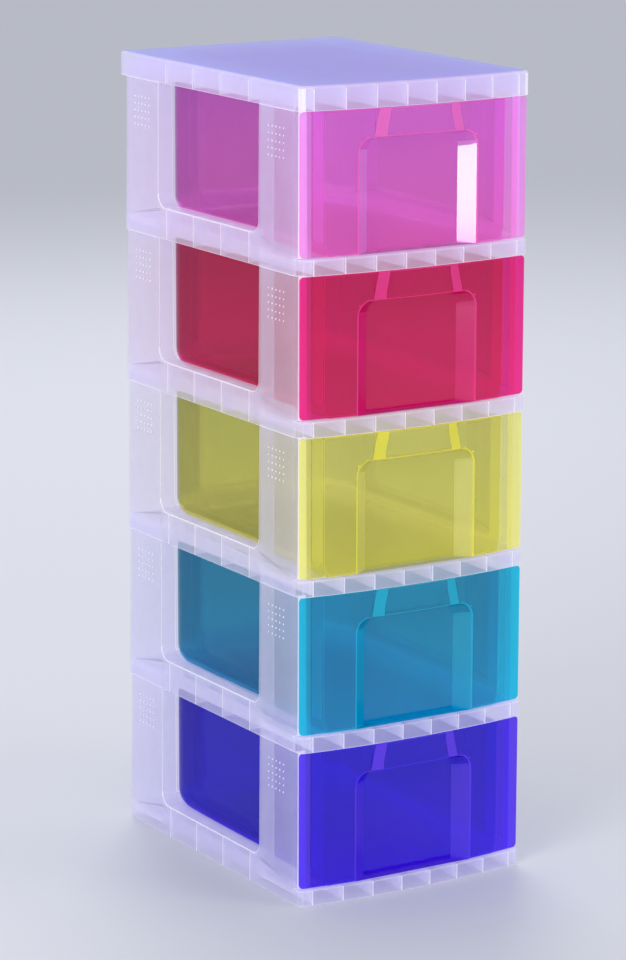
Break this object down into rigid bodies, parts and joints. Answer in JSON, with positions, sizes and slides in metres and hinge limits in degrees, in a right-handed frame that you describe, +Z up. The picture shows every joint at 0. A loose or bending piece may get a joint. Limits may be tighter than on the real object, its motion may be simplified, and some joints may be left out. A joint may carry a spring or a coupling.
{
  "type": "drawer tower",
  "caption": "Tall free-standing tower of stacked frosted open frames, each carrying a tinted see-through pull-out drawer with a finger recess, under a flat frosted lid.",
  "frame": {"origin": "middle of the footprint, on the floor", "axes": "+Z up, -Y out of the drawer fronts, +X to the right when facing the fronts"},
  "size_m": [0.3034, 0.4214, 0.938],
  "materials": {
    "frosted_clear": "frosted, lets light through without a clear view",
    "violet_clear": "smooth see-through violet-blue tint",
    "teal_clear": "smooth see-through teal tint",
    "yellow_clear": "smooth see-through yellow tint",
    "raspberry_clear": "smooth see-through raspberry red tint",
    "orchid_clear": "smooth see-through orchid pink tint"
  },
  "bodies": {
    "tower": {"frame_1": "frosted_clear", "frame_2": "frosted_clear", "frame_3": "frosted_clear", "frame_4": "frosted_clear", "frame_5": "frosted_clear", "lid": "frosted_clear"},
    "violet_drawer": {"drawer_violet": "violet_clear"},
    "teal_drawer": {"drawer_teal": "teal_clear"},
    "yellow_drawer": {"drawer_yellow": "yellow_clear"},
    "raspberry_drawer": {"drawer_raspberry": "raspberry_clear"},
    "orchid_drawer": {"drawer_orchid": "orchid_clear"}
  },
  "joints": [
    {"name": "violet_drawer_slide", "type": "slide", "parent": "tower", "child": "violet_drawer", "axis": [0, -1, 0], "range_m": [0, 0.27]},
    {"name": "teal_drawer_slide", "type": "slide", "parent": "tower", "child": "teal_drawer", "axis": [0, -1, 0], "range_m": [0, 0.27]},
    {"name": "yellow_drawer_slide", "type": "slide", "parent": "tower", "child": "yellow_drawer", "axis": [0, -1, 0], "range_m": [0, 0.27]},
    {"name": "raspberry_drawer_slide", "type": "slide", "parent": "tower", "child": "raspberry_drawer", "axis": [0, -1, 0], "range_m": [0, 0.27]},
    {"name": "orchid_drawer_slide", "type": "slide", "parent": "tower", "child": "orchid_drawer", "axis": [0, -1, 0], "range_m": [0, 0.27]}
  ]
}
